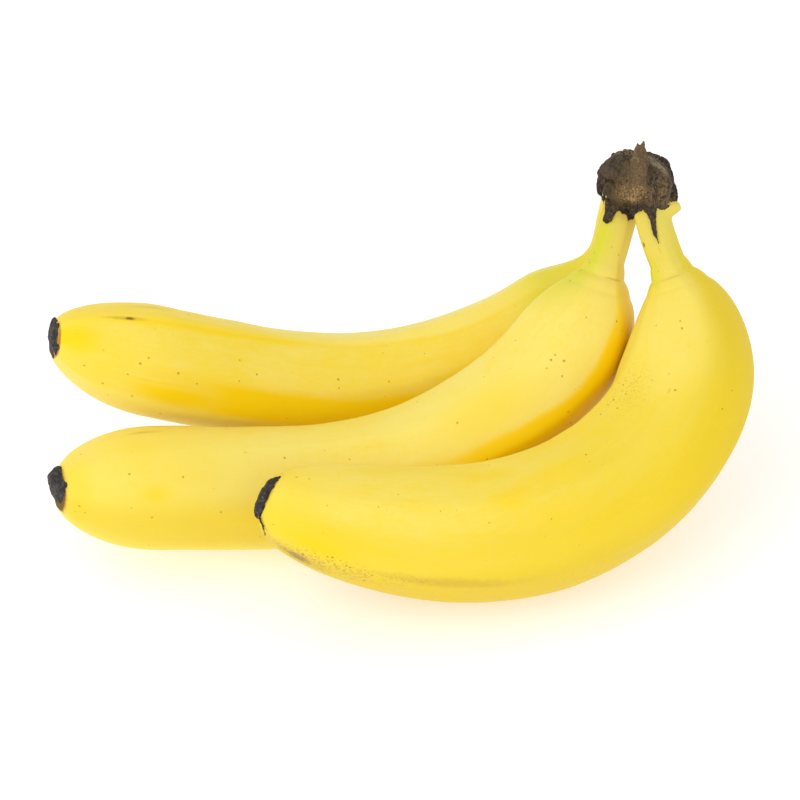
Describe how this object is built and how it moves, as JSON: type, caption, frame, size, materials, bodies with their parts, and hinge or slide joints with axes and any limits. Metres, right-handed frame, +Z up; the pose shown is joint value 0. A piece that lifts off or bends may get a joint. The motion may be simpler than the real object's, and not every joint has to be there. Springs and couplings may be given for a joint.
{
  "type": "bunch of bananas",
  "caption": "Bunch of ripe bananas joined at a dried crown, lying on a surface on the outer curves of the fruits, with short dark blossom ends.",
  "frame": {"origin": "centre of the base of the bunch's bounding box, on the surface it lies on", "axes": "+Z up; +X along the bunch from the blossom ends towards the crown; -Y the side that the front fruit curves out to"},
  "size_m": [0.1916, 0.1202, 0.095],
  "materials": {
    "skin": "satin, waxy ripe banana peel",
    "blossom": "dry, charred-looking dried blossom end",
    "crown": "dry, fibrous cut crown"
  },
  "bodies": {
    "root": {"banana_back": "skin", "banana_middle": "skin", "banana_front": "skin", "blossom_tip_back": "blossom", "blossom_tip_middle": "blossom", "blossom_tip_front": "blossom", "crown": "crown"}
  },
  "joints": []
}
